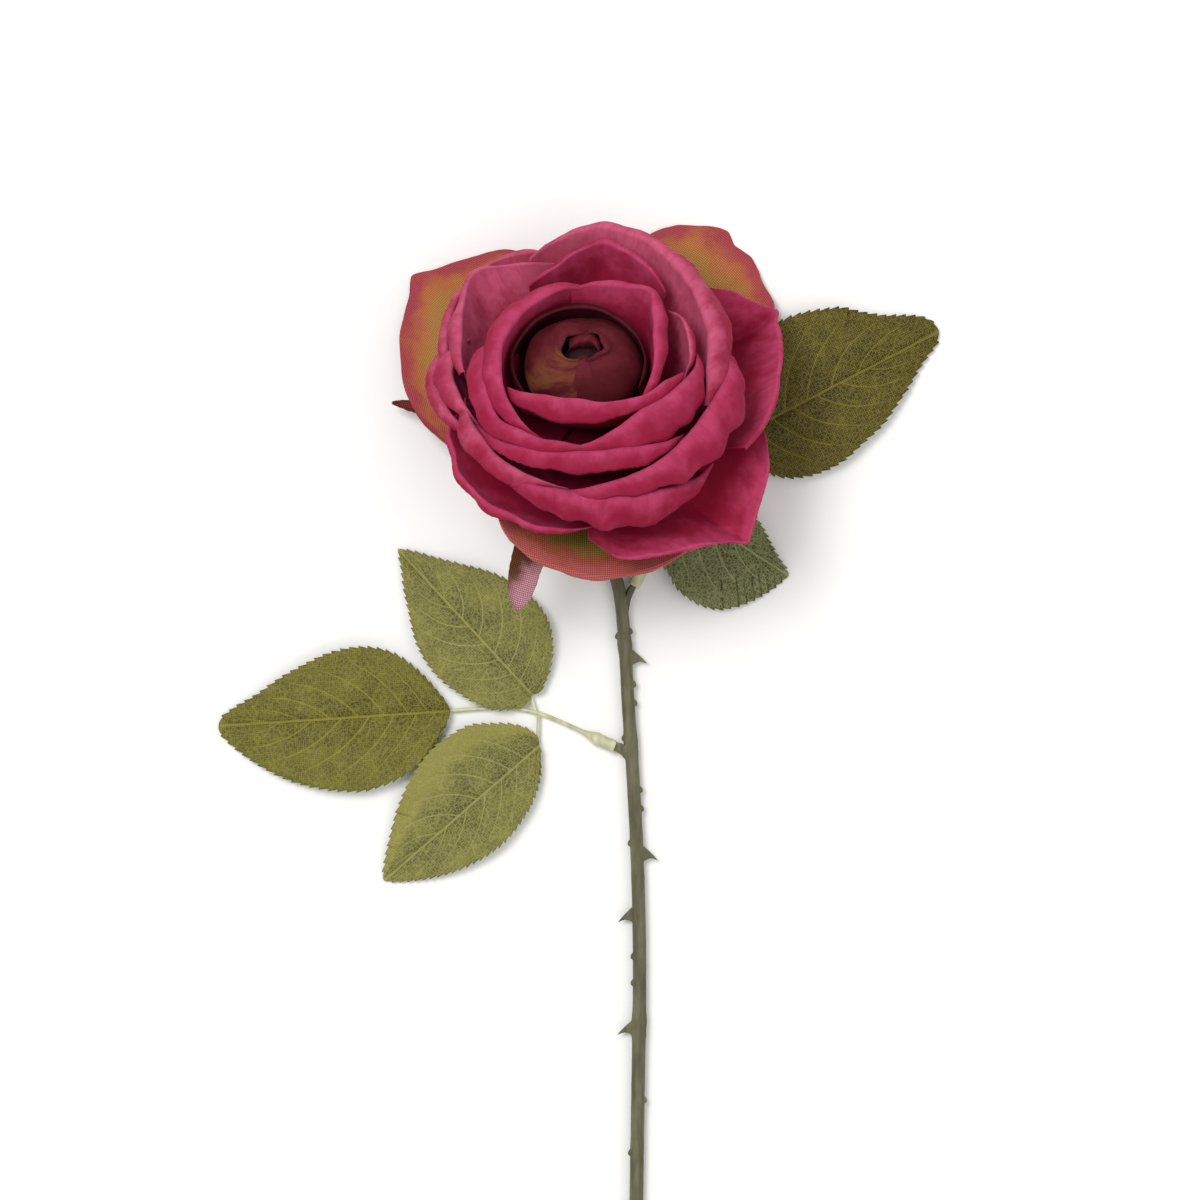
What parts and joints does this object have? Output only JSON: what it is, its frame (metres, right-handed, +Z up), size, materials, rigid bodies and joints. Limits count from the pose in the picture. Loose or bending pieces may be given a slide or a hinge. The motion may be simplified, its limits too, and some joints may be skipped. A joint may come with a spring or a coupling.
{
  "type": "artificial cut rose",
  "caption": "Single open rose of shaped cloth petals on a thorny moulded stem with sprays of toothed cloth leaves, lying on a flat surface.",
  "frame": {"origin": "middle of the rose's footprint, on the surface that it lies on", "axes": "+Z up from the surface, +Y from the cut end of the stem towards the flower, +X towards the leaf spray beside the flower"},
  "size_m": [0.219, 0.4128, 0.0758],
  "materials": {
    "bud_cloth": "starched woven cloth, dark maroon with a tan tint",
    "petal_cloth": "starched woven cloth, dyed raspberry red",
    "guard_cloth": "open woven cloth, gold with a red edge",
    "leaf_cloth": "starched woven cloth, printed olive with pale veins",
    "sepal_cloth": "woven cloth, brown to pink",
    "stem_plastic": "moulded grey-green",
    "stalk_plastic": "moulded pale yellow-green, slightly clear",
    "core_plastic": "moulded pale plastic",
    "core_foam": "dyed foam",
    "wire_steel": "drawn wire"
  },
  "bodies": {
    "root": {"bud_core": "core_foam", "bud_petal_1": "bud_cloth", "bud_petal_2": "bud_cloth", "bud_petal_3": "bud_cloth", "bud_petal_4": "bud_cloth", "bud_petal_5": "bud_cloth", "calyx_cup": "stem_plastic", "calyx_sepals": "sepal_cloth", "guard_petal_1": "guard_cloth", "guard_petal_2": "guard_cloth", "guard_petal_3": "guard_cloth", "inner_petal_1": "petal_cloth", "inner_petal_2": "petal_cloth", "inner_petal_3": "petal_cloth", "left_leaf_end": "leaf_cloth", "left_leaf_lower": "leaf_cloth", "left_leaf_stalk": "stalk_plastic", "left_leaf_upper": "leaf_cloth", "middle_petal_1": "petal_cloth", "middle_petal_2": "petal_cloth", "middle_petal_3": "petal_cloth", "middle_petal_4": "petal_cloth", "middle_petal_5": "petal_cloth", "outer_petal_1": "petal_cloth", "outer_petal_10": "petal_cloth", "outer_petal_11": "petal_cloth", "outer_petal_12": "petal_cloth", "outer_petal_2": "petal_cloth", "outer_petal_3": "petal_cloth", "outer_petal_4": "petal_cloth", "outer_petal_5": "petal_cloth", "outer_petal_6": "petal_cloth", "outer_petal_7": "petal_cloth", "outer_petal_8": "petal_cloth", "outer_petal_9": "petal_cloth", "receptacle": "core_plastic", "right_leaf_end": "leaf_cloth", "right_leaf_hidden": "leaf_cloth", "right_leaf_lower": "leaf_cloth", "right_leaf_stalk": "stalk_plastic", "stem": "stem_plastic", "stem_wire": "wire_steel"}
  },
  "joints": []
}
